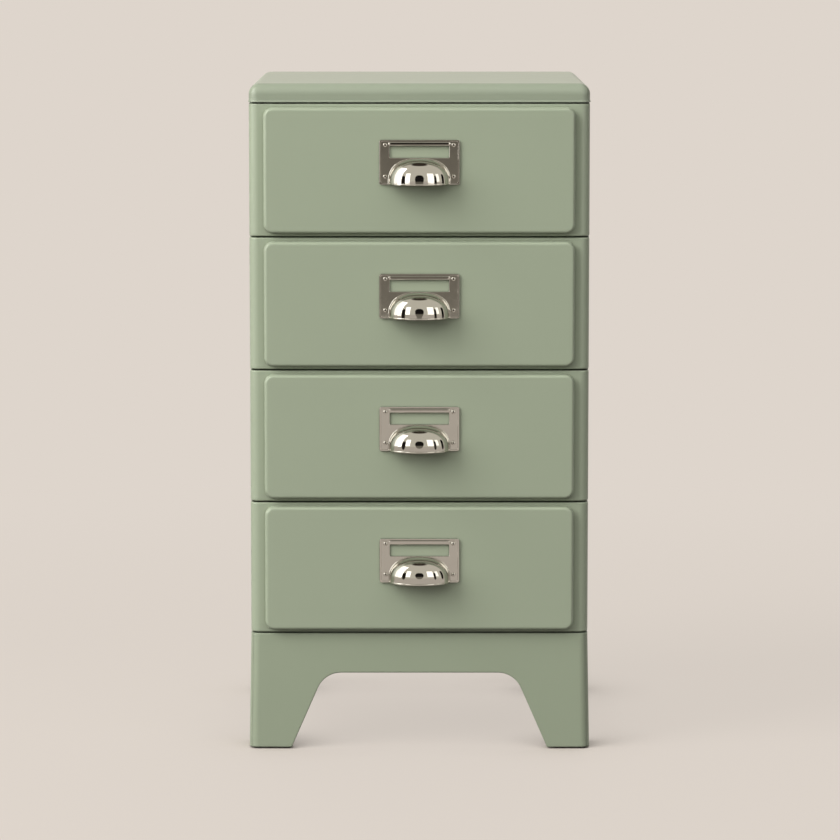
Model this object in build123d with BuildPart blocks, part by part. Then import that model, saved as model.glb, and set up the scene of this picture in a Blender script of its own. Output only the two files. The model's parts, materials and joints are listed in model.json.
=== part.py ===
from build123d import *

import os
from math import cos, radians, sin, tan

# A free-standing pressed-steel cabinet with four full-width drawers on a footed base.
# Millimetres. X to the right, Y to the back, Z up. The floor is Z = 0, and the origin
# is under the middle of the whole object, drawer pulls included.

# ---- overall form -------------------------------------------------------------------
cabinet_width = 340.0
body_depth = 344.0  # plane of the drawer margins to the outside of the back
drawer_count = 4
drawer_pitch = 133.4
seam_gap = 1.3  # shadow gap above and below every drawer front
corner_radius = 9.0  # upright corners of cap, drawer fronts and base
sheet = 1.0  # body and drawer steel
fit_gap = 0.1  # loose fit of a piece inside or on another

# ---- cap ----------------------------------------------------------------------------
cap_height = 18.6
cap_edge_radius = 10.5
cap_lip = 24.0  # inward flange that sits on the body
cap_hem_height = 1.9
cap_hem_reach = 0.6
cap_hem_edge = 1.2
stiffener_width = 24.0
stiffener_wing = 9.0
stiffener_length = 250.0
stiffener_setback = 62.0  # from the front and back planes to its middle
cap_screw_spacing = 190.0

# ---- base ---------------------------------------------------------------------------
base_height = 118.0
base_flare = 2.2  # how far each side leans out at the floor
base_sheet = 1.2
base_flange = 36.0  # inward flange under the body
mitre_depth = 40.0  # how far in from the body's outline the base's mitres are cut
cutout_height = 77.7
foot_width = 42.3  # along the floor, from the outer corner
leg_lean = 23.7  # degrees from upright, inner edge of a leg
cutout_radius = 25.5
edge_return = 8.0  # turned-in edge round each cut-out
foot_lip = 15.0
glide_height = 1.5
glide_radius = 5.0
glide_stem_radius = 2.5
glide_cap_radius = 4.0
glide_cap_height = 1.6
glide_inset = 8.5  # from the outer faces of the foot
corner_plate_leg = 62.0
corner_plate_thickness = 2.0
base_bolt_inset = 27.0

# ---- body ---------------------------------------------------------------------------
side_return = 14.0  # inward fold at the front and back of a side
front_fold_radius = 2.0
post_width = 14.0  # between the side sheet and the runner
post_depth = 20.0
sheet_bend = 1.8  # outer radius of the folds in posts, rails and stiffeners
rear_post_clearance = 1.5  # ahead of the rear corner bend
pan_flange = 10.0
cross_rail_height = 12.0
cross_rail_depth = 17.0
runner_sheet = 1.5
runner_ledge = 10.0
runner_bend = 1.8
runner_rise = 40.0  # middle of a runner above the bottom edge of its drawer front
stop_setback = 50.0  # lug behind the front end of the runner
stop_length = 4.0
stop_height = 5.0
stop_reach = 3.0
stop_gap = 0.5
buffer_radius = 4.0
buffer_thickness = 1.2
buffer_rise = 20.0
back_panel_clearance = 1.0  # inside the rear corner bends
rivet_rows = 5
rivet_end_margin = 40.0
rivet_radius = 1.6
rivet_head_radius = 3.2
rivet_head_height = 1.2
rivet_tail = 2.0

# ---- drawers ------------------------------------------------------------------------
front_depth = 18.0  # side and top flanges of the pressed front
front_edge_radius = 1.5
field_side_margin = 15.0
field_end_margin = 3.6
field_width = cabinet_width - 2 * field_side_margin
field_height = drawer_pitch - seam_gap - 2 * field_end_margin
field_raise = 7.5
field_corner = 9.0
field_edge = 3.1
field_root = 0.5
field_drop = 0.35  # middle of the field below the middle of the front
tray_depth = 300.0
tray_height = 105.0
tray_rise = 12.0  # tray floor above the bottom edge of the front
tray_corner = 3.6
tray_fold = 2.2
tray_hem = 8.0
rail_sheet = 1.2
rail_depth = 11.4
rail_height = 12.0
rail_bend = 1.5
rail_front_setback = 6.0
rail_back_setback = 4.0
slide_gap = 0.3  # drawer rail above and below, inside the runner
slide_side_gap = 0.8

# ---- pulls --------------------------------------------------------------------------
pull_top_drop = 35.5  # top edge of the plate below the top edge of the front
plate_width = 80.0
plate_height = 44.6
plate_thickness = 1.8
plate_corner = 2.2
plate_edge = 0.7
border_width = 1.7  # raised border round the plate
border_raise = 0.4
border_edge = 0.25
window_width = 59.4
window_height = 11.8
window_drop = 6.0
window_corner = 1.0
top_rail_reach = 1.2
top_rail_height = 4.1
top_rail_drop = 3.9  # its middle below the top edge of the plate
top_rail_overlap = 3.0
cup_half_width = 31.5
cup_height = 26.0
cup_wall = 1.4
cup_rise = 0.6  # rim above the bottom edge of the plate
cup_fullness = 2.6  # power of the cup's outline seen from the front; 2 is an ellipse
cup_depth_fullness = 3.1  # the same for its outline seen from the side
cup_levels = 11
bead_width = 1.2
bead_reach = 1.0
lip_reach = 0.4  # rolled rim, proud of the cup
lip_height = 2.0
lip_edge = 0.35

# ---- screws -------------------------------------------------------------------------
pull_screw_spacing_x = 68.0
pull_screw_spacing_z = 31.3
pull_screw_drop = 5.0  # upper screws below the top edge of the plate
pull_screw_radius = 1.3
pull_head_radius = 2.2
pull_head_height = 1.1
pull_recess_radius = 0.75
pull_recess_depth = 0.6
pull_nut_width = 5.0
pull_nut_thickness = 2.2
screw_radius = 2.0
screw_head_radius = 4.0
screw_head_height = 2.2
screw_length = 8.0
bolt_radius = 2.5
bolt_head_radius = 4.8
bolt_head_height = 2.6
bolt_nut_width = 8.0
bolt_nut_thickness = 4.0
bolt_recess_radius = 1.6
bolt_recess_depth = 1.4
thread_end = 1.0  # thread past its nut

# ---- places worked out from the sizes above -----------------------------------------
half_width = cabinet_width / 2
cup_reach = cup_height - bead_width
dome_reach = cup_reach - lip_reach
pull_reach = plate_thickness + cup_reach
overall_depth = body_depth + base_flare + field_raise + pull_reach
front_y = field_raise + pull_reach - overall_depth / 2
back_y = front_y + body_depth
middle_y = (front_y + back_y) / 2
front_height = drawer_pitch - seam_gap
cap_z = base_height + drawer_count * drawer_pitch + seam_gap
total_height = cap_z + cap_height
body_height = cap_z - base_height

case_y = front_y + front_depth + seam_gap  # front edge of the body's sides
post_x = half_width - sheet - post_width  # inner face of the posts
panel_y = back_y - 2 * sheet  # front face of the back panel
post_y = case_y + sheet
rear_post_y = back_y - corner_radius - rear_post_clearance - post_depth
runner_length = rear_post_y + post_depth - post_y
runner_height = rail_height + 2 * slide_gap + 2 * runner_sheet
tray_x = post_x - runner_sheet - slide_side_gap - rail_depth
tray_y = front_y + front_depth
rail_y = tray_y + rail_front_setback
rail_end_y = tray_y + tray_depth - rail_back_setback
field_y = front_y - field_raise
plate_y = field_y - plate_thickness
travel = rail_end_y - rail_sheet - (post_y + stop_setback + stop_length) - stop_gap
plate_top = front_height - pull_top_drop  # above the bottom edge of the drawer front
plate_z = plate_top - plate_height / 2
rim_z = plate_top - plate_height + cup_rise

drawer_bottoms = [base_height + seam_gap + level * drawer_pitch for level in range(drawer_count)]
drawer_names = [f"drawer_{drawer_count - level}" for level in range(drawer_count)]
drawers = list(zip(drawer_names, drawer_bottoms))

os.makedirs("parts", exist_ok=True)


def save(part, name):
    """Label a finished piece and write it as one STEP file."""
    part.label = name
    export_step(part, f"parts/{name}.step")


def sheet_strip(plane, points, radii, thickness, length):
    """Strip of bent sheet: its outer line, turned in by the thickness, drawn out along a plane."""
    with BuildPart() as strip:
        with BuildSketch(plane):
            with BuildLine():
                FilletPolyline(*points, radius=radii)
                offset(amount=thickness, side=Side.LEFT)
            make_face()
        extrude(amount=length)
    return strip.part


def box_between(low, high):
    """Upright block between two opposite corners."""
    size = [high[axis] - low[axis] for axis in range(3)]
    with BuildPart() as block:
        with BuildSketch(Plane(origin=(low[0], low[1], low[2]))):
            Rectangle(size[0], size[1], align=(Align.MIN, Align.MIN))
        extrude(amount=size[2])
    return block.part


def round_screw(head_radius, head_height, shank_radius, shank_length, recess_radius, recess_depth):
    """Screw with its head above Z = 0, a drive recess, and its shank hanging below."""
    with BuildPart() as screw:
        with BuildSketch():
            Circle(head_radius)
        extrude(amount=head_height)
        crown = screw.edges().group_by(Axis.Z)[-1]
        fillet(crown, min(head_height, head_radius - recess_radius) * 0.6)
        with BuildSketch():
            Circle(shank_radius)
        extrude(amount=-shank_length)
        with BuildSketch(Plane.XY.offset(head_height)):
            Circle(recess_radius)
        extrude(amount=-recess_depth, mode=Mode.SUBTRACT)
    return screw.part


def hex_nut(across_flats, thickness, bore_radius):
    """Plain hexagon nut on Z = 0."""
    with BuildPart() as nut:
        with BuildSketch():
            RegularPolygon(across_flats / 2, 6, major_radius=False)
            Circle(bore_radius, mode=Mode.SUBTRACT)
        extrude(amount=thickness)
    return nut.part


def copies(piece, places, name):
    """Identical loose pieces, one at each place, written as one node."""
    save(Compound(children=[place * piece for place in places]), name)


def save_pair(right, name):
    """Write a piece of the right side, and its mirror image on the left."""
    save(right, f"{name}_right")
    save(mirror(right, about=Plane.YZ), f"{name}_left")


def four_corners(piece):
    """A piece of one corner and its mirror images in the other three."""
    pair = [piece, mirror(piece, about=Plane.YZ)]
    return pair + [mirror(each, about=Plane.XZ.offset(-middle_y)) for each in pair]


def tray_form(width, depth, bottom, top, corner, fold):
    """Solid form of a folded tray between two levels, centred on the origin."""
    with BuildPart() as form:
        with BuildSketch(Plane.XY.offset(bottom)):
            RectangleRounded(width, depth, corner)
        extrude(amount=top - bottom)
        fillet(form.faces().sort_by(Axis.Z)[0].edges(), fold)
    return form.part


def folded_tray(width, depth, height, wall, hem):
    """Open tray with its floor on Z = 0, its walls doubled over the height of the hem."""
    inner_corner = tray_corner - wall
    with BuildPart() as tray:
        add(tray_form(width, depth, 0, height, tray_corner, tray_fold))
        inner = (width - 2 * wall, depth - 2 * wall)
        add(tray_form(*inner, wall, height - hem, inner_corner, tray_fold - wall), mode=Mode.SUBTRACT)
        if hem:
            with BuildSketch(Plane.XY.offset(height)):
                RectangleRounded(width - 4 * wall, depth - 4 * wall, inner_corner)
            extrude(amount=-hem, mode=Mode.SUBTRACT)
    return tray.part


# ---- cap ----------------------------------------------------------------------------
def cap_form(inset, bottom):
    """Solid form of the cap above a level, drawn in by an inset from its outside."""
    with BuildPart() as form:
        with BuildSketch(Plane.XY.offset(bottom)):
            with Locations((0, middle_y)):
                RectangleRounded(
                    cabinet_width - 2 * inset, body_depth - 2 * inset, corner_radius - inset
                )
        extrude(amount=total_height - inset - bottom)
        fillet(form.faces().sort_by(Axis.Z)[-1].edges(), cap_edge_radius - inset)
    return form.part


stiffener_ys = (front_y + stiffener_setback, back_y - stiffener_setback)
cap_screw_xs = (-cap_screw_spacing / 2, cap_screw_spacing / 2)
cap_screw_spots = [(x, y) for x in cap_screw_xs for y in stiffener_ys]

with BuildPart() as cap_hem:
    with BuildSketch(Plane.XY.offset(cap_z)):
        with Locations((0, middle_y)):
            RectangleRounded(
                cabinet_width + 2 * cap_hem_reach,
                body_depth + 2 * cap_hem_reach,
                corner_radius + cap_hem_reach,
            )
    extrude(amount=cap_hem_height)
    fillet(cap_hem.faces().sort_by(Axis.Z)[-1].edges(), cap_hem_edge)

with BuildPart() as top_cap:
    add(cap_form(0, cap_z))
    add(cap_hem.part)
    add(cap_form(sheet, cap_z + sheet), mode=Mode.SUBTRACT)
    with BuildSketch(Plane.XY.offset(cap_z)):
        with Locations((0, middle_y)):
            RectangleRounded(cabinet_width - 2 * cap_lip, body_depth - 2 * cap_lip, corner_radius)
    extrude(amount=sheet, mode=Mode.SUBTRACT)
save(top_cap.part, "top_cap")

# Two hat-shaped bars stiffen the cap from inside and stand on the top pan.
wing_z = total_height - 2 * sheet
with BuildPart() as stiffeners:
    for middle in stiffener_ys:
        near, far = middle - stiffener_width / 2, middle + stiffener_width / 2
        hat = [
            (near - stiffener_wing, wing_z),
            (near, wing_z),
            (near, cap_z),
            (far, cap_z),
            (far, wing_z),
            (far + stiffener_wing, wing_z),
        ]
        add(sheet_strip(Plane.YZ.offset(-stiffener_length / 2), hat, sheet_bend, sheet, stiffener_length))
    with BuildSketch(Plane.XY.offset(cap_z)):
        with Locations(*cap_screw_spots):
            Circle(screw_radius + fit_gap)
    extrude(amount=sheet, mode=Mode.SUBTRACT)
save(stiffeners.part, "cap_stiffeners")

# ---- body ---------------------------------------------------------------------------
return_x = half_width - side_return
rivet_x = half_width - (side_return + corner_radius) / 2
rivet_step = (body_height - 2 * rivet_end_margin) / (rivet_rows - 1)
rivet_zs = [base_height + rivet_end_margin + row * rivet_step for row in range(rivet_rows)]
rivet_spots = [(x, z) for x in (-rivet_x, rivet_x) for z in rivet_zs]

with BuildPart() as side_panel:
    outline = [(return_x, case_y), (half_width, case_y), (half_width, back_y), (return_x, back_y)]
    folds = [front_fold_radius, corner_radius]
    add(sheet_strip(Plane.XY.offset(base_height), outline, folds, sheet, body_height))
    with BuildSketch(Plane.XZ.offset(-back_y)):
        with Locations(*rivet_spots):
            Circle(rivet_radius + fit_gap)
    extrude(amount=sheet, mode=Mode.SUBTRACT)
save_pair(side_panel.part, "side_panel")

with BuildPart() as back_panel:
    with BuildSketch(Plane.XZ.offset(-panel_y - sheet)):
        with Locations((0, base_height + body_height / 2)):
            Rectangle(2 * (half_width - corner_radius - back_panel_clearance), body_height)
        with Locations(*rivet_spots):
            Circle(rivet_radius + fit_gap, mode=Mode.SUBTRACT)
    extrude(amount=sheet)
save(back_panel.part, "back_panel")

rivet = round_screw(
    rivet_head_radius, rivet_head_height, rivet_radius, 2 * sheet + rivet_tail, rivet_radius / 2, sheet / 2
)
copies(rivet, [Pos(x, back_y, z) * Rot(X=-90) for x, z in rivet_spots], "back_rivets")

# Folded posts stand inside each side, behind its front fold and ahead of its rear bend.
post_flange_x = {post_y: half_width - front_fold_radius, rear_post_y: half_width - sheet}
post_names = {post_y: "front_post", rear_post_y: "rear_post"}
for start in (post_y, rear_post_y):
    end = start + post_depth
    flange_x = post_flange_x[start]
    outline = [(flange_x, end), (post_x, end), (post_x, start), (flange_x, start)]
    post = sheet_strip(Plane.XY.offset(base_height), outline, sheet_bend, sheet, body_height)
    save_pair(post, post_names[start])

# Pans close the body at the bottom and under the cap, between the posts.
pan = folded_tray(2 * post_x, panel_y - case_y, pan_flange, sheet, 0)
pan_y = (case_y + panel_y) / 2
bolt_x = half_width - base_bolt_inset
bolt_ys = (front_y + base_bolt_inset, back_y - base_bolt_inset)
bolt_spots = [(x, y) for x in (-bolt_x, bolt_x) for y in bolt_ys]
glide_x = half_width + base_flare - glide_inset
glide_ys = (front_y - base_flare + glide_inset, back_y + base_flare - glide_inset)
glide_spots = [(x, y) for x in (-glide_x, glide_x) for y in glide_ys]

with BuildPart() as bottom_pan:
    with Locations((0, pan_y, base_height)):
        add(pan)
    with BuildSketch(Plane.XY.offset(base_height)):
        with Locations(*bolt_spots):
            Circle(bolt_radius + fit_gap)
    extrude(amount=sheet, mode=Mode.SUBTRACT)
save(bottom_pan.part, "bottom_pan")

with BuildPart() as top_pan:
    with Locations(Location((0, pan_y, cap_z), (180, 0, 0))):
        add(pan)
    with BuildSketch(Plane.XY.offset(cap_z)):
        with Locations(*cap_screw_spots):
            Circle(screw_radius + fit_gap)
    extrude(amount=-sheet, mode=Mode.SUBTRACT)
save(top_pan.part, "top_pan")

cap_screw = round_screw(
    screw_head_radius, screw_head_height, screw_radius, screw_length, bolt_recess_radius, bolt_recess_depth
)
copies(cap_screw, [Pos(x, y, cap_z - sheet) * Rot(X=180) for x, y in cap_screw_spots], "cap_screws")

# A rail crosses the front behind each seam between two drawers.
rail_end = post_y + cross_rail_depth
low, high = -cross_rail_height / 2, cross_rail_height / 2
outline = [(rail_end, high), (post_y, high), (post_y, low), (rail_end, low)]
cross_rail = sheet_strip(Plane.YZ.offset(-post_x), outline, sheet_bend, sheet, 2 * post_x)
seam_zs = [bottom - seam_gap / 2 for bottom in drawer_bottoms[1:]]
copies(cross_rail, [Pos(0, 0, z) for z in seam_zs], "cross_rails")

# Channel runners span from the front posts to the rear posts, with a stop lug inside.
ledge_x = post_x - runner_ledge
web_x = post_x - runner_sheet
lug_y = post_y + stop_setback
low, high = runner_rise - runner_height / 2, runner_rise + runner_height / 2
with BuildPart() as runner:
    outline = [(ledge_x, low), (post_x, low), (post_x, high), (ledge_x, high)]
    add(sheet_strip(Plane.XZ.offset(-post_y), outline, runner_bend, runner_sheet, -runner_length))
    add(box_between(
        (web_x - stop_reach, lug_y, runner_rise - stop_height / 2),
        (web_x, lug_y + stop_length, runner_rise + stop_height / 2),
    ))
for name, bottom in drawers:
    save_pair(Pos(0, 0, bottom) * runner.part, f"{name}_runner")

with BuildPart() as buffer:
    with BuildSketch(Plane.XZ.offset(-case_y)):
        Circle(buffer_radius)
    extrude(amount=buffer_thickness)
buffer_x = half_width - side_return / 2
buffer_spots = [(x, bottom + buffer_rise) for x in (-buffer_x, buffer_x) for bottom in drawer_bottoms]
copies(buffer.part, [Pos(x, 0, z) for x, z in buffer_spots], "drawer_buffers")


# ---- base ---------------------------------------------------------------------------
def base_form(inset, bottom, top):
    """Flared solid form of the base between two levels, drawn in by an inset."""
    with BuildPart() as form:
        for level in (bottom, top):
            flare = base_flare * (base_height - level) / (base_height - glide_height)
            with BuildSketch(Plane.XY.offset(level)):
                with Locations((0, middle_y)):
                    RectangleRounded(
                        cabinet_width + 2 * (flare - inset),
                        body_depth + 2 * (flare - inset),
                        max(corner_radius - inset, sheet),
                    )
        loft(ruled=True)
    return form.part


def cutout(plane, width, grow):
    """Opening between two legs, right through the base, grown outward by a sheet."""
    floor_half = width / 2 + base_flare - foot_width
    lean = tan(radians(leg_lean))
    crown_half = floor_half - cutout_height * lean
    drop = foot_lip  # the profile runs on below the floor
    with BuildPart() as opening:
        with BuildSketch(plane) as profile:
            with BuildLine():
                Polyline(
                    (-floor_half - drop * lean, -drop),
                    (-crown_half, cutout_height),
                    (crown_half, cutout_height),
                    (floor_half + drop * lean, -drop),
                    close=True,
                )
            make_face()
            fillet(profile.vertices().group_by(Axis.Y)[-1], cutout_radius)
            offset(amount=grow)
        extrude(amount=cabinet_width + body_depth, both=True)
    return opening.part


front_cutout = (Plane.XZ, cabinet_width)
side_cutout = (Plane((0, middle_y, 0), x_dir=(0, 1, 0), z_dir=(1, 0, 0)), body_depth)
skirt_top = base_height - base_sheet

# The edge of each cut-out is turned in: the part of a thicker wall that lies within a
# sheet's thickness of the opening.
with BuildPart() as turned_edges:
    for plane, width in (front_cutout, side_cutout):
        add(cutout(plane, width, base_sheet))
    add(base_form(0, glide_height, skirt_top), mode=Mode.INTERSECT)
    add(base_form(edge_return, glide_height, skirt_top), mode=Mode.SUBTRACT)

with BuildPart() as base_skirt:
    add(base_form(0, glide_height, base_height))
    add(base_form(base_sheet, glide_height + base_sheet, skirt_top), mode=Mode.SUBTRACT)
    add(turned_edges.part)
    with BuildSketch():
        with Locations((0, middle_y)):
            Rectangle(cabinet_width - 2 * base_flange, body_depth - 2 * base_flange)
    extrude(amount=base_height, mode=Mode.SUBTRACT)
    with BuildSketch():
        with Locations((0, middle_y)):
            Rectangle(cabinet_width - 2 * foot_lip, body_depth - 2 * foot_lip)
    extrude(amount=glide_height + base_sheet, mode=Mode.SUBTRACT)
    for plane, width in (front_cutout, side_cutout):
        add(cutout(plane, width, 0), mode=Mode.SUBTRACT)
    with BuildSketch(Plane.XY.offset(base_height)):
        with Locations(*bolt_spots):
            Circle(bolt_radius + fit_gap)
    extrude(amount=-base_sheet, mode=Mode.SUBTRACT)
    with BuildSketch(Plane.XY.offset(glide_height)):
        with Locations(*glide_spots):
            Circle(glide_stem_radius + fit_gap)
    extrude(amount=base_sheet, mode=Mode.SUBTRACT)

def outline_corners(depth):
    """Corners of the body's outline drawn in by a depth, from the front left round."""
    x = half_width - depth
    return [(-x, front_y + depth), (x, front_y + depth), (x, back_y - depth), (-x, back_y - depth)]


# The base is four folded panels, mitred at the corners and welded there; the holes at
# the corners are drilled through the welds.
mitre_outer = outline_corners(-base_flange)
mitre_inner = outline_corners(mitre_depth)
for index, side in enumerate(("front", "right", "back", "left")):
    after = (index + 1) % len(mitre_outer)
    with BuildPart() as base_panel:
        with BuildSketch():
            with BuildLine():
                Polyline(
                    mitre_outer[index],
                    mitre_outer[after],
                    mitre_inner[after],
                    mitre_inner[index],
                    close=True,
                )
            make_face()
        extrude(amount=base_height)
        add(base_skirt.part, mode=Mode.INTERSECT)
    save(base_panel.part, f"base_panel_{side}")

# Corner plates under the top flange carry the bolts that hold the body.
plate_corner_x = half_width - base_sheet - fit_gap
plate_corner_y = back_y - base_sheet - fit_gap
with BuildPart() as corner_plate:
    with BuildSketch(Plane.XY.offset(skirt_top)) as outline:
        with BuildLine():
            Polyline(
                (plate_corner_x, plate_corner_y),
                (plate_corner_x - corner_plate_leg, plate_corner_y),
                (plate_corner_x, plate_corner_y - corner_plate_leg),
                close=True,
            )
        make_face()
        chamfer(outline.vertices(), corner_radius)
        with Locations((bolt_x, bolt_ys[1])):
            Circle(bolt_radius + fit_gap, mode=Mode.SUBTRACT)
    extrude(amount=-corner_plate_thickness)
save(Compound(children=four_corners(corner_plate.part)), "base_corner_plates")

bolt_grip = sheet + base_sheet + corner_plate_thickness
base_bolt = round_screw(
    bolt_head_radius,
    bolt_head_height,
    bolt_radius,
    bolt_grip + bolt_nut_thickness + thread_end,
    bolt_recess_radius,
    bolt_recess_depth,
)
copies(base_bolt, [Pos(x, y, base_height + sheet) for x, y in bolt_spots], "base_bolts")
base_nut = hex_nut(bolt_nut_width, bolt_nut_thickness, bolt_radius + fit_gap)
nut_z = skirt_top - corner_plate_thickness - bolt_nut_thickness
copies(base_nut, [Pos(x, y, nut_z) for x, y in bolt_spots], "base_nuts")

# Nylon glides press into the turned-in bottom of each foot.
with BuildPart() as glide:
    with BuildSketch():
        Circle(glide_radius)
    extrude(amount=glide_height)
    with BuildSketch(Plane.XY.offset(glide_height)):
        Circle(glide_stem_radius)
    extrude(amount=base_sheet)
    with BuildSketch(Plane.XY.offset(glide_height + base_sheet)):
        Circle(glide_cap_radius)
    extrude(amount=glide_cap_height)
    chamfer(glide.edges().group_by(Axis.Z)[-1], glide_cap_height / 2)
copies(glide.part, [Pos(x, y, 0) for x, y in glide_spots], "foot_glides")


# ---- drawers ------------------------------------------------------------------------
# Each drawer's pieces are made with the bottom edge of its front on Z = 0.
def front_form(inset):
    """Solid form of the pressed front: a shallow tray with a raised field."""
    middle = front_height / 2 - field_drop
    with BuildPart() as form:
        with BuildSketch(Plane.XY.offset(inset)) as plan:
            with Locations((0, front_y + inset)):
                Rectangle(
                    cabinet_width - 2 * inset, front_depth - inset, align=(Align.CENTER, Align.MIN)
                )
            fillet(plan.vertices().group_by(Axis.Y)[0], corner_radius - inset)
        extrude(amount=front_height - 2 * inset)
        rims = form.edges().group_by(Axis.Z)
        long_edges = [edge for edge in rims[0] + rims[-1] if edge.center().Y < front_y + front_depth / 2]
        fillet(long_edges, front_edge_radius - inset)
        margin_y = front_y + inset
        with BuildSketch(Plane.XZ.offset(-margin_y)):
            with Locations((0, middle)):
                RectangleRounded(
                    field_width - 2 * inset, field_height - 2 * inset, field_corner - inset
                )
        extrude(amount=field_raise)
        fillet(form.faces().sort_by(Axis.Y)[0].edges(), field_edge - inset)
        fillet(form.edges().filter_by(lambda edge: on_root(edge, margin_y)), field_root + inset)
    return form.part


def on_root(edge, margin_y):
    """True for an edge where the raised field rises from the margins."""
    box = edge.bounding_box()
    flat = abs(box.min.Y - margin_y) < fit_gap and abs(box.max.Y - margin_y) < fit_gap
    inside = max(abs(box.min.X), abs(box.max.X)) <= field_width / 2 + fit_gap
    return flat and inside and box.min.Z > sheet and box.max.Z < front_height - sheet


screw_xs = (-pull_screw_spacing_x / 2, pull_screw_spacing_x / 2)
screw_top = plate_top - pull_screw_drop
pull_screw_spots = [(x, z) for x in screw_xs for z in (screw_top, screw_top - pull_screw_spacing_z)]

with BuildPart() as drawer_front:
    add(front_form(0))
    add(front_form(sheet), mode=Mode.SUBTRACT)
    with BuildSketch(Plane.XZ.offset(-field_y)):
        with Locations(*pull_screw_spots):
            Circle(pull_screw_radius + fit_gap)
    extrude(amount=-sheet, mode=Mode.SUBTRACT)

with BuildPart() as inner_panel:
    with BuildSketch(Plane.XZ.offset(-tray_y)):
        with Locations((0, front_height / 2)):
            edge_gap = 2 * (sheet + fit_gap)
            RectangleRounded(
                cabinet_width - edge_gap, front_height - edge_gap, front_edge_radius
            )
    extrude(amount=sheet)

with BuildPart() as tray:
    with Locations((0, tray_y + tray_depth / 2, tray_rise)):
        add(folded_tray(2 * tray_x, tray_depth, tray_height, sheet, tray_hem))

# Drawer rails are channels that ride inside the runners, closed by a tab at the back.
rail_flange_x = tray_x + rail_depth
low, high = runner_rise - rail_height / 2, runner_rise + rail_height / 2
with BuildPart() as rails:
    outline = [(rail_flange_x, high), (tray_x, high), (tray_x, low), (rail_flange_x, low)]
    add(sheet_strip(Plane.XZ.offset(-rail_y), outline, rail_bend, rail_sheet, rail_y - rail_end_y))
    add(box_between(
        (tray_x, rail_end_y - rail_sheet, low + rail_sheet),
        (rail_flange_x, rail_end_y, high - rail_sheet),
    ))
    mirror(about=Plane.YZ)

# The pull is one casting: a plate with a label window, a bar above it and a cup below.
def dome_levels(half_width, reach, height):
    """Half width, reach and rise of the cup at each level, from the rim to near its top."""
    side, front = 2 / cup_depth_fullness, 1 / cup_fullness
    levels = []
    for level in range(cup_levels):
        angle = radians(90) * level / cup_levels
        rise = sin(angle) ** side
        across = (1 - rise**cup_fullness) ** front
        levels.append((half_width * across, reach * cos(angle) ** side, height * rise))
    return levels


def cup_form(inset):
    """Solid form of the cup in front of the plate, drawn in by an inset."""
    half_width = cup_half_width - bead_width - inset
    height = cup_height - bead_width - inset
    with BuildPart() as form:
        for across, reach, rise in dome_levels(half_width, dome_reach - inset, height):
            with BuildSketch(Plane.XY.offset(rim_z + rise)):
                with Locations((0, plate_y)):
                    Ellipse(across, reach)
        loft()
        split(bisect_by=Plane.XZ.offset(-plate_y), keep=Keep.TOP)
    return form.part


def cup_outline(inset):
    """Face inside the cup's outline on the plate, drawn in by an inset."""
    half_width, height = cup_half_width - inset, cup_height - inset
    side = [(across, rise) for across, _, rise in dome_levels(half_width, dome_reach, height)]
    with BuildSketch() as outline:
        with BuildLine():
            Spline(*side, (0, height), tangents=[(0, 1), (-1, 0)])
            Line(side[0], (0, 0))
            mirror(about=Plane.YZ)
        make_face()
    return outline.sketch


with BuildPart() as pull:
    with BuildSketch(Plane.XZ.offset(-field_y)):
        with Locations((0, plate_z)):
            RectangleRounded(plate_width, plate_height, plate_corner)
    extrude(amount=plate_thickness + border_raise)
    fillet(pull.faces().sort_by(Axis.Y)[0].edges(), plate_edge)
    with BuildSketch(Plane.XZ.offset(-plate_y)):
        with Locations((0, plate_z)):
            RectangleRounded(
                plate_width - 2 * border_width, plate_height - 2 * border_width, border_width
            )
    extrude(amount=border_raise, mode=Mode.SUBTRACT)
    border_edges = pull.faces().sort_by(Axis.Y)[0].inner_wires()[0].edges()
    chamfer(border_edges, border_edge)
    with BuildSketch(Plane.XZ.offset(-plate_y)):
        with Locations((0, plate_top - top_rail_drop)):
            SlotOverall(window_width + top_rail_overlap, top_rail_height)
    extrude(amount=top_rail_reach)
    fillet(pull.faces().sort_by(Axis.Y)[0].edges(), top_rail_reach - fit_gap)
    with BuildSketch(Plane.XZ.offset(-plate_y)):
        with Locations((0, rim_z)):
            add(cup_outline(0))
            add(cup_outline(bead_width + cup_wall), mode=Mode.SUBTRACT)
    extrude(amount=bead_reach)
    add(cup_form(0))
    with BuildSketch(Plane.XY.offset(rim_z)):
        with Locations((0, plate_y)):
            Ellipse(cup_half_width - bead_width + lip_reach, cup_reach)
            Rectangle(2 * cup_half_width, cup_reach, align=(Align.CENTER, Align.MIN), mode=Mode.SUBTRACT)
    extrude(amount=lip_height)
    for level in (rim_z, rim_z + lip_height):
        at_level = pull.edges().filter_by_position(Axis.Z, level - fit_gap, level + fit_gap)
        chamfer(at_level.sort_by(SortBy.LENGTH)[-1], lip_edge)
    add(cup_form(cup_wall), mode=Mode.SUBTRACT)
    with BuildSketch(Plane.XZ.offset(-field_y)):
        with Locations((0, plate_top - window_drop - window_height / 2)):
            RectangleRounded(window_width, window_height, window_corner)
        with Locations(*pull_screw_spots):
            Circle(pull_screw_radius + fit_gap)
    extrude(amount=plate_thickness, mode=Mode.SUBTRACT)

pull_screw = round_screw(
    pull_head_radius,
    pull_head_height,
    pull_screw_radius,
    plate_thickness + sheet + pull_nut_thickness + thread_end,
    pull_recess_radius,
    pull_recess_depth,
)
pull_nut = hex_nut(pull_nut_width, pull_nut_thickness, pull_screw_radius + fit_gap)
pull_screw_places = [Pos(x, plate_y, z) * Rot(X=90) for x, z in pull_screw_spots]
pull_nut_places = [Pos(x, field_y + sheet, z) * Rot(X=-90) for x, z in pull_screw_spots]

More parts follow.
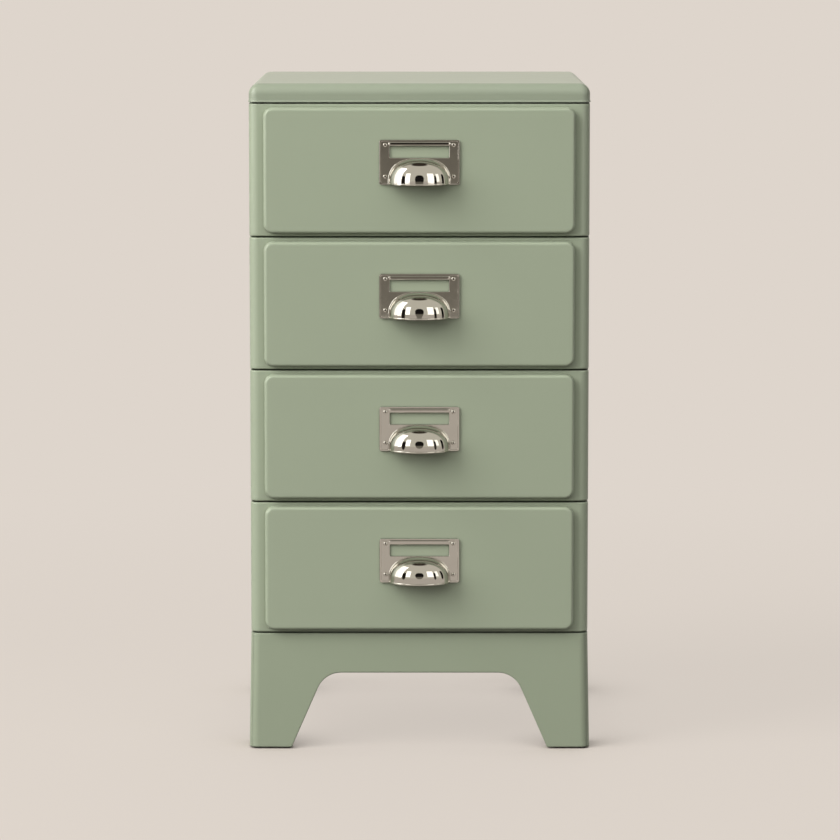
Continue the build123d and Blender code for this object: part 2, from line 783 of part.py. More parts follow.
for name, bottom in drawers:
    lift = Pos(0, 0, bottom)
    save(lift * drawer_front.part, f"{name}_front")
    save(lift * inner_panel.part, f"{name}_inner_panel")
    save(lift * tray.part, f"{name}_tray")
    save(lift * rails.part, f"{name}_rails")
    save(lift * pull.part, f"{name}_pull")
    copies(pull_screw, [lift * place for place in pull_screw_places], f"{name}_pull_screws")
    copies(pull_nut, [lift * place for place in pull_nut_places], f"{name}_pull_nuts")

print("drawer travel", round(travel, 2))
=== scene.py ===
import json
import math

import bmesh
import bpy
from mathutils import Matrix, Vector

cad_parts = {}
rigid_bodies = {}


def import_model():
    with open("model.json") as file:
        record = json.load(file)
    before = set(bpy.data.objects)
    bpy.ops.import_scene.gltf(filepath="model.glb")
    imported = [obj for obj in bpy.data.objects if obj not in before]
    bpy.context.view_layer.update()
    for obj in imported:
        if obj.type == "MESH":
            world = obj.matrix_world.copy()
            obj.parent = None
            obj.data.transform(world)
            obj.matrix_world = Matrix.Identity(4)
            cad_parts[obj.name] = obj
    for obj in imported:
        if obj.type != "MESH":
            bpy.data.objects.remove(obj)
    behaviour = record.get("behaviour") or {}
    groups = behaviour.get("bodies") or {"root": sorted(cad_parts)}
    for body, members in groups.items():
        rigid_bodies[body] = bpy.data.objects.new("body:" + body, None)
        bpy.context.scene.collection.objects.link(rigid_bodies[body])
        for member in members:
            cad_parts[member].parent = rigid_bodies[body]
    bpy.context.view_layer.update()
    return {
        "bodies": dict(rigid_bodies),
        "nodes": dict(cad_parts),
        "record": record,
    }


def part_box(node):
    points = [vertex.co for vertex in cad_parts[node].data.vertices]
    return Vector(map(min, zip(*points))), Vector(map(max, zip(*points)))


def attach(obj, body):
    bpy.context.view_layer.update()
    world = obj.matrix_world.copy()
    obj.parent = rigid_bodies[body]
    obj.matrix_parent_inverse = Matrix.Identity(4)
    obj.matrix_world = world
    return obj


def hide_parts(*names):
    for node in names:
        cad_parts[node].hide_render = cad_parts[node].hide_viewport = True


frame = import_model()

MM = 0.001

# ---- sizes of the pull, as in the solids --------------------------------------------
PLATE_WIDTH = 80.0 * MM
PLATE_HEIGHT = 44.6 * MM
PLATE_THICKNESS = 1.8 * MM
PLATE_CORNER = 2.2 * MM
WINDOW_BEVEL = 0.55 * MM
BORDER_WIDTH = 1.7 * MM
BORDER_RAISE = 0.4 * MM
BORDER_ROUNDING = 0.38 * MM
WINDOW_WIDTH = 59.4 * MM
WINDOW_HEIGHT = 11.8 * MM
WINDOW_DROP = 6.0 * MM
WINDOW_CORNER = 1.0 * MM
BAR_WIDTH = 62.4 * MM
BAR_HEIGHT = 4.1 * MM
BAR_DROP = 3.9 * MM
BAR_REACH = 1.2 * MM
BAR_STEPS = 60
BAR_END_FULLNESS = 24  # power of the bar's outline at its ends
# The bar's section from its lower edge up, as shares of its half height and of its reach:
# a flat face with rounded edges.
BAR_PROFILE = (
    (-1.0, 0.0), (-0.98, 0.45), (-0.93, 0.74), (-0.84, 0.92), (-0.74, 0.985), (-0.62, 1.0),
    (0.0, 0.995), (0.6, 0.985), (0.8, 0.93), (0.92, 0.76), (0.98, 0.42), (1.0, 0.0),
)
CUP_HALF_WIDTH = 31.5 * MM  # bead included
CUP_HEIGHT = 26.0 * MM
CUP_REACH = 24.8 * MM  # rolled rim included
CUP_WALL = 1.4 * MM
CUP_RISE = 0.6 * MM
CUP_FULLNESS = 2.6  # power of the cup's outline seen from the front
CUP_DEPTH_FULLNESS = 3.1  # the same seen from the side
CUP_STEPS_ACROSS = 96
CUP_STEPS_UP = 40
CUP_TOP = 0.9999  # share of the way up at which the last ring lies, just short of a point
BEAD_RADIUS = 0.7 * MM
BEAD_STEPS = 40
RIM_RADIUS = 0.9 * MM
RIM_STEP = 0.4 * MM  # the rolled rim stands this far out from the cup
RIM_STEPS = 80
SCREW_SPACING_X = 68.0 * MM
SCREW_SPACING_Z = 31.3 * MM
SCREW_DROP = 5.0 * MM
HEAD_RADIUS = 2.2 * MM
HEAD_HEIGHT = 1.1 * MM
HEAD_STEPS = 6
RECESS_RADIUS = HEAD_RADIUS * 0.36
RECESS_MOUTH = RECESS_RADIUS * 1.3
RECESS_EDGE = HEAD_HEIGHT * 0.95  # height at which the mouth narrows to the recess
RECESS_DEPTH = HEAD_HEIGHT * 1.6  # below the plate's face
SHANK_RADIUS = 1.3 * MM
EDGE_SEGMENTS = 4  # of each rounded edge of the plate
TUBE_SEGMENTS = 5  # of the bead and the rolled rim
WELD_DISTANCE = 0.01 * MM
SMOOTH_ANGLE = math.radians(35)

# ---- camera, solved from the photograph ---------------------------------------------
SENSOR_WIDTH = 36  # millimetres, like the focal length
FOCAL_LENGTH = 172.25
CAMERA_PITCH = math.radians(6.98)
CAMERA_DISTANCE = 4.0025  # in front of the plane of the drawer margins
CAMERA_HEIGHT = 0.8249
CAMERA_X = 0.0006
CAMERA_CLIP = 200.0
BASE_FLARE = 2.2 * MM  # the base stands this far out from the drawer margins

# ---- colours, as sRGB 0 to 255 ------------------------------------------------------
SAGE = (153, 163, 141)
# The next two are darker copies of SAGE as painted shade: the base gets less light than the
# drawer fronts, and the cap's front is darkened while a lamp keeps its top bright.
BASE_SAGE_SHADED = (147, 157, 135)
CAP_SAGE_SHADED = (143, 152, 133)
NICKEL = ((187, 184, 176), (193, 190, 182))  # it drifts between the two
# painted shade: the nickel's colour in its creases and in the screw recesses
NICKEL_PAINTED_SHADE = (62, 56, 50)
ZINC = ((168, 170, 172), (190, 191, 190))
NYLON = (38, 37, 35)
RUBBER = (58, 57, 55)
PALE = (222, 213, 204)  # floor and backdrop
ROOM = (238, 233, 220)  # the front half of the studio, seen only in reflections
SIDES = (104, 98, 88)  # beside the backdrop
CEILING_GAP = (70, 62, 54)  # straight overhead

# ---- painted shade in creases, and rounded edges ------------------------------------
# Painted shade in a crease is darkest where the openness is below the first number, and ends at
# the second.
PAINTED_SHADE_LIMITS = (0.32, 0.74)
PAINTED_SHADE_REACH = 4.0 * MM
BASE_PAINTED_SHADE_REACH = 2.0 * MM  # less than twice the gap under the base
PAINTED_SHADE_FACTOR = 0.45
# Painted shade on the nickel: limits of openness and reach, as for the paint.
NICKEL_PAINTED_SHADE_LIMITS = (0.3, 0.65)
NICKEL_PAINTED_SHADE_REACH = 2.4 * MM
EDGE_ROUNDING = 1.2 * MM
BASE_ROUNDING = 2.5 * MM
RAY_SAMPLES = 6  # for rounded edges and for creases

DRAWERS = sorted(name for name in frame["bodies"] if name.startswith("drawer_"))


def linear(rgb):
    """sRGB 0 to 255 as a linear colour with alpha."""
    out = []
    for value in rgb:
        share = value / 255
        out.append(share / 12.92 if share <= 0.04045 else ((share + 0.055) / 1.055) ** 2.4)
    return (*out, 1.0)


# ---- materials ----------------------------------------------------------------------
class Shader:
    """A material with a Principled BSDF and short ways to add nodes to it."""

    def __init__(self, name):
        self.material = bpy.data.materials.new(name)
        self.material.use_nodes = True
        self.tree = self.material.node_tree
        self.bsdf = self.tree.nodes["Principled BSDF"]
        self.place = self.node("ShaderNodeTexCoord").outputs["Object"]

    def node(self, kind, **settings):
        made = self.tree.nodes.new(kind)
        for key, value in settings.items():
            setattr(made, key, value)
        return made

    def link(self, source, target):
        self.tree.links.new(source, target)

    def feed(self, source, target):
        """Give an input a fixed value, or link a node's output to it."""
        if isinstance(source, bpy.types.NodeSocket):
            self.link(source, target)
        else:
            target.default_value = source

    def noise(self, scale, detail=2.0, stretch=(1, 1, 1)):
        """Noise over the object's own coordinates, as a value from 0 to 1."""
        mapping = self.node("ShaderNodeMapping")
        mapping.inputs["Scale"].default_value = stretch
        self.link(self.place, mapping.inputs["Vector"])
        made = self.node("ShaderNodeTexNoise")
        made.inputs["Scale"].default_value = scale
        made.inputs["Detail"].default_value = detail
        self.link(mapping.outputs["Vector"], made.inputs["Vector"])
        return made.outputs["Fac"]

    def ramp(self, value, start=0.0, end=1.0, low=0.0, high=1.0, smooth=False):
        """Value carried from one range to another and held at its ends."""
        kind = "SMOOTHSTEP" if smooth else "LINEAR"
        made = self.node("ShaderNodeMapRange", interpolation_type=kind)
        made.inputs["From Min"].default_value = start
        made.inputs["From Max"].default_value = end
        made.inputs["To Min"].default_value = low
        made.inputs["To Max"].default_value = high
        self.link(value, made.inputs["Value"])
        return made.outputs["Result"]

    def mix(self, factor, first, second):
        """Colour from the first, at factor 0, to the second, at 1."""
        made = self.node("ShaderNodeMix", data_type="RGBA")
        self.feed(first, made.inputs["A"])
        self.feed(second, made.inputs["B"])
        self.link(factor, made.inputs["Factor"])
        return made.outputs["Result"]

    def base_colour(self, colour):
        self.link(colour, self.bsdf.inputs["Base Color"])

    def vary_roughness(self, factor, low, high):
        self.link(self.ramp(factor, low=low, high=high), self.bsdf.inputs["Roughness"])

    def rounded(self, radius):
        """Normal of the surface as if its sharp edges were rounded by a radius in metres."""
        made = self.node("ShaderNodeBevel", samples=RAY_SAMPLES)
        made.inputs["Radius"].default_value = radius
        return made.outputs["Normal"]

    def openness(self, reach):
        """1 on open surfaces, less in creases and gaps narrower than a reach in metres."""
        made = self.node("ShaderNodeAmbientOcclusion", samples=RAY_SAMPLES)
        made.inputs["Distance"].default_value = reach
        return made.outputs["AO"]

    def paint_crease_shade(self, colour, dark, limits, reach):
        """Base colour darkened as painted shade in creases, between two limits of openness."""
        fade = self.ramp(self.openness(reach), *limits)
        self.base_colour(self.mix(fade, dark, colour))

    def emit(self, colour):
        """Shader that glows in a colour, whatever light falls on it."""
        glow = self.node("ShaderNodeEmission")
        self.feed(colour, glow.inputs["Color"])
        return glow.outputs["Emission"]

    def surface(self, shader):
        self.link(shader, self.tree.nodes["Material Output"].inputs["Surface"])

    def bump(self, layers, normal=None):
        """Chain of bumps, each a height, a strength and a distance in metres."""
        for height, strength, distance in layers:
            made = self.node("ShaderNodeBump")
            made.inputs["Strength"].default_value = strength
            made.inputs["Distance"].default_value = distance
            self.link(height, made.inputs["Height"])
            if normal is not None:
                self.link(normal, made.inputs["Normal"])
            normal = made.outputs["Normal"]
        self.link(normal, self.bsdf.inputs["Normal"])


def shade(rgb, factor):
    """Linear colour made darker or lighter by a factor."""
    return tuple(min(channel * factor, 1.0) for channel in rgb[:3]) + (1.0,)


def powder_coat(name, rgb, rounding=EDGE_ROUNDING, shade_reach=PAINTED_SHADE_REACH):
    """Satin powder coat: orange peel, a slow drift of tone, painted shade in creases, soft gloss.
    """
    coat = Shader(name)
    colour = linear(rgb)
    drift = coat.mix(coat.noise(scale=9, detail=3), shade(colour, 0.975), shade(colour, 1.025))
    # painted shade: the base colour darkens where creases and seams are closed
    coat.paint_crease_shade(drift, shade(colour, PAINTED_SHADE_FACTOR), PAINTED_SHADE_LIMITS, shade_reach)
    coat.vary_roughness(coat.noise(scale=60), low=0.28, high=0.34)
    orange_peel = coat.noise(scale=900, detail=1)
    ripple = coat.noise(scale=220, detail=1)
    layers = [(orange_peel, 0.10, 0.1 * MM), (ripple, 0.06, 0.2 * MM)]
    coat.bump(layers, coat.rounded(rounding))
    return coat.material


def polished_nickel(name):
    """Bright plated casting with faint waves and smudges, and painted shade in its creases and
    screw recesses.
    """
    metal = Shader(name)
    drift = metal.mix(metal.noise(scale=60), *(linear(tone) for tone in NICKEL))
    # painted shade: darker base colour in the creases and the screw recesses
    metal.paint_crease_shade(drift, linear(NICKEL_PAINTED_SHADE), NICKEL_PAINTED_SHADE_LIMITS, NICKEL_PAINTED_SHADE_REACH)
    metal.bsdf.inputs["Metallic"].default_value = 1.0
    metal.vary_roughness(metal.noise(scale=180, detail=3), low=0.03, high=0.08)
    metal.bump([(metal.noise(scale=140, detail=1), 0.04, 0.2 * MM)])
    return metal.material


def zinc_plate(name):
    """Zinc-plated steel, brushed along the runners."""
    metal = Shader(name)
    drift = metal.mix(metal.noise(scale=40, detail=4), *(linear(tone) for tone in ZINC))
    metal.base_colour(drift)
    metal.bsdf.inputs["Metallic"].default_value = 1.0
    metal.vary_roughness(metal.noise(scale=90, detail=3), low=0.28, high=0.42)
    brushing = metal.noise(scale=700, stretch=(1, 0.04, 1))
    metal.bump([(brushing, 0.12, 0.1 * MM)])
    return metal.material


def moulded(name, rgb, low, high, grain):
    """Moulded nylon or rubber: two limits of roughness and a fine matt grain."""
    plastic = Shader(name)
    colour = linear(rgb)
    drift = plastic.mix(plastic.noise(scale=70), shade(colour, 0.9), shade(colour, 1.15))
    plastic.base_colour(drift)
    plastic.vary_roughness(plastic.noise(scale=300), low, high)
    plastic.bump([(plastic.noise(scale=grain), 0.25, 0.1 * MM)])
    return plastic.material


finishes = {
    # the cap and the base get darker copies of the sage, painted shade
    "cap_paint": powder_coat("cap_paint_finish", CAP_SAGE_SHADED),
    "body_paint": powder_coat("body_paint_finish", SAGE),
    "front_paint": powder_coat("front_paint_finish", SAGE),
    "base_paint": powder_coat("base_paint_finish", BASE_SAGE_SHADED, BASE_ROUNDING, BASE_PAINTED_SHADE_REACH),
    "inner_paint": powder_coat("inner_paint_finish", SAGE),
    "zinc_steel": zinc_plate("zinc_finish"),
    "polished_nickel": polished_nickel("nickel_finish"),
    "black_nylon": moulded("nylon_finish", NYLON, low=0.45, high=0.6, grain=1500),
    "grey_rubber": moulded("rubber_finish", RUBBER, low=0.7, high=0.85, grain=2200),
}
slot_of = {entry["node"]: entry["material_slot"] for entry in frame["record"]["subparts"]}
for node, thing in frame["nodes"].items():
    for place in thing.material_slots:
        place.material = finishes[slot_of[node]]


# ---- pulls --------------------------------------------------------------------------
def rounded_rectangle(width, height, radius, steps=6):
    """Corner points, counter-clockwise, of a rectangle with round corners."""
    points = []
    for quarter in range(4):
        side_x = 1 if quarter in (0, 3) else -1
        side_z = 1 if quarter in (0, 1) else -1
        centre = (side_x * (width / 2 - radius), side_z * (height / 2 - radius))
        for step in range(steps + 1):
            angle = math.pi / 2 * (quarter + step / steps)
            x = centre[0] + radius * math.cos(angle)
            z = centre[1] + radius * math.sin(angle)
            points.append((x, z))
    return points


def add_spline(curve, points, closed):
    """Straight runs through a list of (x, y, z) points."""
    spline = curve.splines.new("POLY")
    spline.points.add(len(points) - 1)
    for point, place in zip(spline.points, points):
        point.co = (*place, 1)
    spline.use_cyclic_u = closed


def curve_to_mesh(curve):
    """Mesh of a curve, which is removed."""
    holder = bpy.data.objects.new(curve.name, curve)
    mesh = bpy.data.meshes.new_from_object(holder)
    bpy.data.objects.remove(holder)
    bpy.data.curves.remove(curve)
    return mesh


def slab(outlines, thickness, rounding):
    """Flat plate with rounded edges from closed outlines, the first one outside."""
    curve = bpy.data.curves.new("slab", "CURVE")
    curve.dimensions = "2D"
    curve.fill_mode = "BOTH"
    curve.extrude = thickness / 2 - rounding
    curve.bevel_depth = rounding
    curve.bevel_resolution = EDGE_SEGMENTS
    for points in outlines:
        add_spline(curve, [(x, z, 0) for x, z in points], closed=True)
    return curve_to_mesh(curve)


def tube(path, radius):
    """Round bar along a list of points, with closed ends."""
    curve = bpy.data.curves.new("tube", "CURVE")
    curve.dimensions = "3D"
    curve.bevel_depth = radius
    curve.bevel_resolution = TUBE_SEGMENTS
    curve.use_fill_caps = True
    add_spline(curve, path, closed=False)
    return curve_to_mesh(curve)


def grid_mesh(name, rows):
    """Surface through rows of points of equal length."""
    mesh = bpy.data.meshes.new(name)
    count = len(rows[0])
    faces = [
        (r * count + c, r * count + c + 1, (r + 1) * count + c + 1, (r + 1) * count + c)
        for r in range(len(rows) - 1)
        for c in range(count - 1)
    ]
    mesh.from_pydata([place for row in rows for place in row], [], faces)
    return mesh


def lathe(profile, steps=28):
    """Surface of revolution about the local Z axis, from (radius, height) points."""
    around = [2 * math.pi / steps * step for step in range(steps + 1)]
    return grid_mesh("lathe", [
        [(radius * math.cos(turn), radius * math.sin(turn), height) for radius, height in profile]
        for turn in around
    ])


def merged(name, meshes):
    """One mesh from several, with doubles merged and edges smooth up to an angle."""
    build = bmesh.new()
    for mesh in meshes:
        build.from_mesh(mesh)
        bpy.data.meshes.remove(mesh)
    bmesh.ops.remove_doubles(build, verts=build.verts, dist=WELD_DISTANCE)
    bmesh.ops.recalc_face_normals(build, faces=build.faces)
    out = bpy.data.meshes.new(name)
    build.to_mesh(out)
    build.free()
    out.shade_smooth()
    out.set_sharp_from_angle(angle=SMOOTH_ANGLE)
    return out


def dome_level(angle, half_width, reach, height):
    """Half width, reach and rise of the cup at an angle up from the rim."""
    rise = math.sin(angle) ** (2 / CUP_DEPTH_FULLNESS)
    across = max(1 - rise ** CUP_FULLNESS, 0) ** (1 / CUP_FULLNESS)
    out = math.cos(angle) ** (2 / CUP_DEPTH_FULLNESS)
    return half_width * across, reach * out, height * rise


def dome(half_width, reach, height):
    """Half of a full-bodied dome in front of the plate, open at its rim."""
    around = [math.pi * step / CUP_STEPS_ACROSS for step in range(CUP_STEPS_ACROSS + 1)]
    rows = []
    for row in range(CUP_STEPS_UP + 1):
        angle = math.pi / 2 * row / CUP_STEPS_UP * CUP_TOP
        x, y, z = dome_level(angle, half_width, reach, height)
        rows.append([(-x * math.cos(turn), -y * math.sin(turn), z) for turn in around])
    return grid_mesh("dome", rows)


def cup_meshes():
    """The cup about its rim's centre: X across, Y into the drawer, Z up."""
    outer = (CUP_HALF_WIDTH - BEAD_RADIUS, CUP_REACH - RIM_STEP, CUP_HEIGHT - BEAD_RADIUS)
    inner = tuple(size - CUP_WALL for size in outer)
    arc = [math.pi * step / RIM_STEPS for step in range(RIM_STEPS + 1)]
    rim_x = outer[0] - RIM_RADIUS + RIM_STEP
    rim_y = CUP_REACH - RIM_RADIUS
    rim = [(-rim_x * math.cos(a), -rim_y * math.sin(a), RIM_RADIUS) for a in arc]
    climb = [math.pi / 2 * step / BEAD_STEPS for step in range(BEAD_STEPS + 1)]
    side = [dome_level(angle, outer[0], 0, outer[2]) for angle in climb]
    edge = [(-x, 0, z) for x, _, z in side] + [(x, 0, z) for x, _, z in reversed(side[:-1])]
    return [dome(*outer), dome(*inner), tube(rim, RIM_RADIUS), tube(edge, BEAD_RADIUS)]


def bar_mesh():
    """Raised flat-faced bar over the label window, with round edges and tapered ends."""
    rows = []
    for step in range(BAR_STEPS + 1):
        along = math.cos(math.pi * step / BAR_STEPS)
        swell = math.sqrt(max(1 - along ** BAR_END_FULLNESS, 0))
        rows.append([
            (-along * BAR_WIDTH / 2, -BAR_REACH * swell * reach, BAR_HEIGHT / 2 * swell * rise)
            for rise, reach in BAR_PROFILE
        ])
    return grid_mesh("bar", rows)


def plate_meshes():
    """The plate, its front face at Y = 0, with a raised border and a bevelled window."""
    bevel = WINDOW_BEVEL
    window_z = PLATE_HEIGHT / 2 - WINDOW_DROP - WINDOW_HEIGHT / 2
    window = [(x, z + window_z) for x, z in rounded_rectangle(
        WINDOW_WIDTH + 2 * bevel, WINDOW_HEIGHT + 2 * bevel, WINDOW_CORNER + bevel
    )]
    field = rounded_rectangle(
        PLATE_WIDTH - 2 * BORDER_WIDTH, PLATE_HEIGHT - 2 * BORDER_WIDTH, BORDER_WIDTH
    )
    plate = slab([field, window], PLATE_THICKNESS, bevel)
    plate.transform(Matrix.Translation((0, 0, -PLATE_THICKNESS / 2)))
    grow = BORDER_ROUNDING
    outside = rounded_rectangle(
        PLATE_WIDTH - 2 * grow, PLATE_HEIGHT - 2 * grow, PLATE_CORNER - grow
    )
    inside = rounded_rectangle(
        PLATE_WIDTH - 2 * BORDER_WIDTH + 2 * grow,
        PLATE_HEIGHT - 2 * BORDER_WIDTH + 2 * grow,
        BORDER_WIDTH + grow,
    )
    border = slab([outside, inside], PLATE_THICKNESS + BORDER_RAISE, grow)
    border.transform(Matrix.Translation((0, 0, (BORDER_RAISE - PLATE_THICKNESS) / 2)))
    for piece in (plate, border):
        piece.transform(Matrix.Rotation(math.pi / 2, 4, "X"))
    return [plate, border]


def pull_mesh():
    """The whole pull about the middle of the plate's front face."""
    bar = bar_mesh()
    bar.transform(Matrix.Translation((0, 0, PLATE_HEIGHT / 2 - BAR_DROP)))
    meshes = [*plate_meshes(), bar]
    for piece in cup_meshes():
        piece.transform(Matrix.Translation((0, 0, CUP_RISE - PLATE_HEIGHT / 2)))
        meshes.append(piece)
    return merged("pull", meshes)


def screw_mesh():
    """Four domed screws, each with a deep tapered recess, about the plate's middle."""
    crown = [(0, -RECESS_DEPTH), (RECESS_RADIUS, RECESS_EDGE), (RECESS_MOUTH, HEAD_HEIGHT)]
    start = math.asin(RECESS_MOUTH / HEAD_RADIUS)
    for step in range(1, HEAD_STEPS + 1):
        angle = start + (math.pi / 2 - start) * step / HEAD_STEPS
        height = HEAD_HEIGHT * math.cos(angle) / math.cos(start)
        crown.append((HEAD_RADIUS * math.sin(angle), height))
    crown += [(SHANK_RADIUS, 0), (SHANK_RADIUS, -PLATE_THICKNESS)]
    meshes = []
    top = PLATE_HEIGHT / 2 - SCREW_DROP
    for x in (-SCREW_SPACING_X / 2, SCREW_SPACING_X / 2):
        for z in (top, top - SCREW_SPACING_Z):
            screw = lathe(crown)
            screw.transform(Matrix.Rotation(math.pi / 2, 4, "X"))
            screw.transform(Matrix.Translation((x, 0, z)))
            meshes.append(screw)
    return merged("pull_screws", meshes)


def add_piece(name, mesh, place, body, node):
    """Object from a mesh, placed, riding on a body and standing for a CAD node."""
    piece = bpy.data.objects.new(name, mesh)
    bpy.context.scene.collection.objects.link(piece)
    piece.location = place
    piece.data.materials.clear()
    piece.data.materials.append(finishes[slot_of[node]])
    even = piece.modifiers.new("even_shading", "WEIGHTED_NORMAL")
    even.keep_sharp = True
    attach(piece, body)
    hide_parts(node)
    return piece


shared_pull = pull_mesh()
shared_screws = screw_mesh()
for drawer in DRAWERS:
    _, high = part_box(f"{drawer}_pull")
    place = Vector((0, high.y - PLATE_THICKNESS, high.z - PLATE_HEIGHT / 2))
    add_piece(f"{drawer}_cup_pull", shared_pull.copy(), place, drawer, f"{drawer}_pull")
    screws = f"{drawer}_pull_screws"
    add_piece(f"{drawer}_screw_heads", shared_screws.copy(), place, drawer, screws)


# ---- floor --------------------------------------------------------------------------
FLOOR_FRONT = 30.0
FLOOR_SIDE = 40.0
FLOOR_BACK = 90.0
FLOOR_Z = -0.0002
SHADOW_SHARE = 0.17  # how much of the real shading a look at the floor keeps
SHADOW_FADE = (0.6, 1.8)  # metres from the object over which that share dies out
CONTACT_REACH = 90.0 * MM  # nearer than this to a foot the floor keeps more of its shading
CONTACT_SHARE = 1.6  # of the shading, times how closed the place is, and all of it from 1
FLOOR_LIT = (186, 178, 170)  # the floor's own colour where the lamps light it
FLOOR_BOUNCE = (64, 60, 56)  # its colour as a source of stray light


def floor_material():
    """Pale paper that looks even from afar and keeps a soft shadow by the object."""
    paper = Shader("floor_finish")

    def largest(first, second):
        made = paper.node("ShaderNodeMath", operation="MAXIMUM")
        paper.link(first, made.inputs[0])
        paper.link(second, made.inputs[1])
        return made.outputs["Value"]

    def either(factor, first, second):
        made = paper.node("ShaderNodeMixShader")
        paper.link(factor, made.inputs["Fac"])
        paper.link(first, made.inputs[1])
        paper.link(second, made.inputs[2])
        return made.outputs["Shader"]

    away = paper.node("ShaderNodeVectorMath", operation="LENGTH")
    paper.link(paper.place, away.inputs[0])
    share = paper.ramp(away.outputs["Value"], *SHADOW_FADE, SHADOW_SHARE, 0.0, smooth=True)
    contact = paper.ramp(paper.openness(CONTACT_REACH), low=CONTACT_SHARE, high=0.0)
    lit = linear(FLOOR_LIT)
    paper.base_colour(paper.mix(paper.noise(scale=2), lit, shade(lit, 0.99)))
    paper.vary_roughness(paper.noise(scale=3), low=0.82, high=0.9)
    paper.bsdf.inputs["Specular IOR Level"].default_value = 0.1
    shaded = paper.bsdf.outputs["BSDF"]
    looked_at = either(largest(share, contact), paper.emit(linear(PALE)), shaded)
    dull = paper.node("ShaderNodeBsdfDiffuse")
    dull.inputs["Color"].default_value = linear(FLOOR_BOUNCE)
    ray = paper.node("ShaderNodeLightPath")
    seen = largest(ray.outputs["Is Camera Ray"], ray.outputs["Is Glossy Ray"])
    paper.surface(either(seen, dull.outputs["BSDF"], looked_at))
    return paper.material


floor = bpy.data.objects.new("floor", grid_mesh("floor", [
    [(-FLOOR_SIDE, -FLOOR_FRONT, FLOOR_Z), (FLOOR_SIDE, -FLOOR_FRONT, FLOOR_Z)],
    [(-FLOOR_SIDE, FLOOR_BACK, FLOOR_Z), (FLOOR_SIDE, FLOOR_BACK, FLOOR_Z)],
]))
bpy.context.scene.collection.objects.link(floor)
floor.data.materials.append(floor_material())


# ---- light --------------------------------------------------------------------------
CENTRE = Vector((0, -0.16, 0.4))
WARM = (1.0, 0.985, 0.965)
CARD_ROUNDNESS = 0.499  # corner radius as a share of the shorter side
CARD_CORNER_STEPS = 12
# Colours at the foot and at the top of a card, and the heights between which they fade.
STAND_LOOK = ((138, 132, 122), (33, 30, 28), (0.34, 0.52))
FLAG_LOOK = ((48, 42, 38), (34, 30, 28), (0.3, 0.6))


def from_centre(azimuth, elevation, distance):
    """Place seen from the object: azimuth from the front, left positive, in degrees."""
    turn, rise = math.radians(azimuth), math.radians(elevation)
    level = math.cos(rise)
    way = Vector((-math.sin(turn) * level, -math.cos(turn) * level, math.sin(rise)))
    return CENTRE + distance * way


def softbox(name, place, target, width, height, brightness):
    """Rectangular lamp with a given brightness, aimed at a point."""
    lamp = bpy.data.lights.new(name, "AREA")
    lamp.shape = "RECTANGLE"
    lamp.size = width
    lamp.size_y = height
    lamp.energy = brightness * math.pi * width * height
    lamp.color = WARM
    thing = bpy.data.objects.new(name, lamp)
    bpy.context.scene.collection.objects.link(thing)
    thing.location = place
    way = Vector(target) - thing.location
    thing.rotation_euler = way.to_track_quat("-Z", "Y").to_euler()
    return thing


# Each lamp's name, place, target, width, height and brightness, and the rays that miss it:
# where glossy rays do, it lights surfaces but doesn't show in the metal, and where diffuse
# rays do, it shows in the metal but lights nothing dull.
LAMPS = (
    ("key", from_centre(61, 31, 4.6), CENTRE, 2.6, 4.0, 8.0, "glossy"),
    ("ceiling", (0, -3.2, 3.0), (0, -3.2, 0), 6.0, 4.6, 1.2, "glossy"),
    ("overhead", (0, 0.9, 2.9), (0, 0.1, 0.6), 2.2, 1.8, 0.6, "glossy"),
    ("back", from_centre(180, 25, 4.2), CENTRE, 3.0, 2.0, 4.0, "glossy"),
    ("shine_left", from_centre(69, 24, 3.2), CENTRE, 1.0, 3.0, 4.0, "diffuse"),
    ("shine_side", from_centre(88, 24, 3.2), CENTRE, 1.1, 3.0, 1.5, "diffuse"),
    ("window_left", from_centre(37, 12, 3.6), CENTRE, 0.96, 1.5, 2.6, "none"),
    ("window_right", from_centre(-36, 12, 3.6), CENTRE, 1.35, 1.5, 1.8, "none"),
    ("window_far_right", from_centre(-62, 12, 3.6), CENTRE, 0.7, 1.3, 1.4, "diffuse"),
)
for *lamp, missed_by in LAMPS:
    box = softbox(*lamp)
    box.visible_glossy = missed_by != "glossy"
    box.visible_diffuse = missed_by != "diffuse"


def card(name, centre, width, height, bottom, top, ramp):
    """Upright card seen only in reflections, facing the object and graded from its foot up."""
    radius = min(width, height) * CARD_ROUNDNESS
    outline = rounded_rectangle(width, height, radius, CARD_CORNER_STEPS)
    mesh = bpy.data.meshes.new(name)
    mesh.from_pydata([(x, 0, z) for x, z in outline], [], [list(range(len(outline)))])
    thing = bpy.data.objects.new(name, mesh)
    thing.location = centre
    thing.rotation_euler = (0, 0, math.atan2(centre[0] - CENTRE.x, CENTRE.y - centre[1]))
    thing.visible_camera = False
    thing.visible_diffuse = False
    thing.visible_shadow = False
    look = Shader(name + "_finish")
    split = look.node("ShaderNodeSeparateXYZ")
    look.link(look.place, split.inputs["Vector"])
    start, end = (level - centre[2] for level in ramp)
    rise = look.ramp(split.outputs["Z"], start, end, smooth=True)
    look.surface(look.emit(look.mix(rise, linear(bottom), linear(top))))
    thing.data.materials.append(look.material)
    bpy.context.scene.collection.objects.link(thing)


def flag(name, azimuth, distance, width, height):
    """Dark card between two lamps, standing on the floor."""
    place = from_centre(azimuth, 0, distance)
    card(name, (place.x, place.y, height / 2), width, height, *FLAG_LOOK)


card("camera_stand", (0, -4.4, 0.82), 2.0, 1.6, *STAND_LOOK)
flag("flag_left", 52, 3.2, 0.80, 1.30)
flag("flag_right", -52, 3.2, 0.50, 1.30)
flag("flag_far_right", -86, 3.2, 0.70, 1.60)

# The studio by direction, as shares of +Y, to the back, and of +Z, up.
FRONT_TO_SIDES = (0.05, 0.3)
SIDES_TO_BACKDROP = (0.6, 0.9)
CEILING_EDGE = (0.93, 0.97)
STRAY_LIGHT = (1.0, 0.98, 0.96, 1)
STRAY_STRENGTH = 0.27


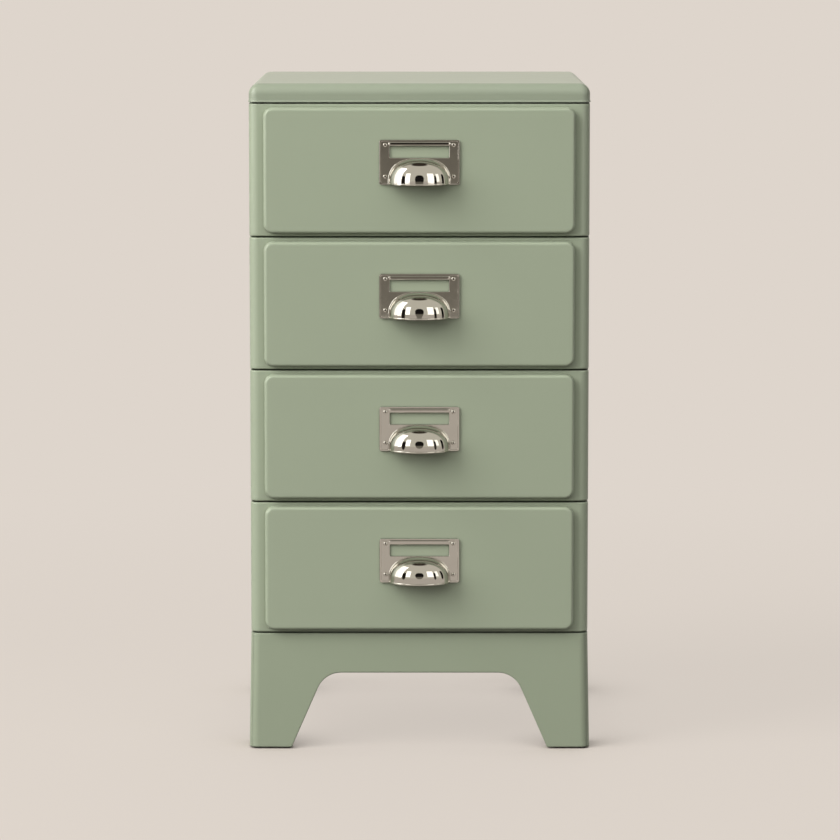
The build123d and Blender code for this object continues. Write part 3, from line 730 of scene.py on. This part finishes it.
def surroundings():
    """Studio: pale backdrop, light front, dim sides and a dark gap in the ceiling."""
    world = bpy.data.worlds.new("studio")
    world.use_nodes = True
    tree = world.node_tree

    def background(colour, strength=1.0):
        made = tree.nodes.new("ShaderNodeBackground")
        made.inputs["Color"].default_value = colour
        made.inputs["Strength"].default_value = strength
        return made.outputs["Background"]

    def mixed(factor, first, second):
        made = tree.nodes.new("ShaderNodeMixShader")
        tree.links.new(factor, made.inputs["Fac"])
        tree.links.new(first, made.inputs[1])
        tree.links.new(second, made.inputs[2])
        return made.outputs["Shader"]

    def ramp(axis, low, high):
        made = tree.nodes.new("ShaderNodeMapRange")
        made.interpolation_type = "SMOOTHSTEP"
        made.inputs["From Min"].default_value = low
        made.inputs["From Max"].default_value = high
        tree.links.new(split.outputs[axis], made.inputs["Value"])
        return made.outputs["Result"]

    way = tree.nodes.new("ShaderNodeTexCoord")
    split = tree.nodes.new("ShaderNodeSeparateXYZ")
    tree.links.new(way.outputs["Generated"], split.inputs["Vector"])
    pale = background(linear(PALE))
    front, beside = background(linear(ROOM)), background(linear(SIDES))
    walls = mixed(ramp("Y", *FRONT_TO_SIDES), front, beside)
    sky = mixed(ramp("Z", *CEILING_EDGE), walls, background(linear(CEILING_GAP)))
    room = mixed(ramp("Y", *SIDES_TO_BACKDROP), sky, pale)
    path = tree.nodes.new("ShaderNodeLightPath")
    soft = background(STRAY_LIGHT, STRAY_STRENGTH)
    shine = mixed(path.outputs["Is Glossy Ray"], soft, room)
    seen = mixed(path.outputs["Is Camera Ray"], shine, pale)
    tree.links.new(seen, tree.nodes["World Output"].inputs["Surface"])
    return world


bpy.context.scene.world = surroundings()

# ---- camera -------------------------------------------------------------------------
margin_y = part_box("base_panel_front")[0].y + BASE_FLARE
lens = bpy.data.cameras.new("camera")
lens.lens = FOCAL_LENGTH
lens.sensor_width = SENSOR_WIDTH
lens.clip_end = CAMERA_CLIP
camera = bpy.data.objects.new("camera", lens)
bpy.context.scene.collection.objects.link(camera)
camera.location = (CAMERA_X, margin_y - CAMERA_DISTANCE, CAMERA_HEIGHT)
camera.rotation_euler = (math.pi / 2 - CAMERA_PITCH, 0, 0)
bpy.context.scene.camera = camera

bpy.context.scene.view_settings.view_transform = "Standard"
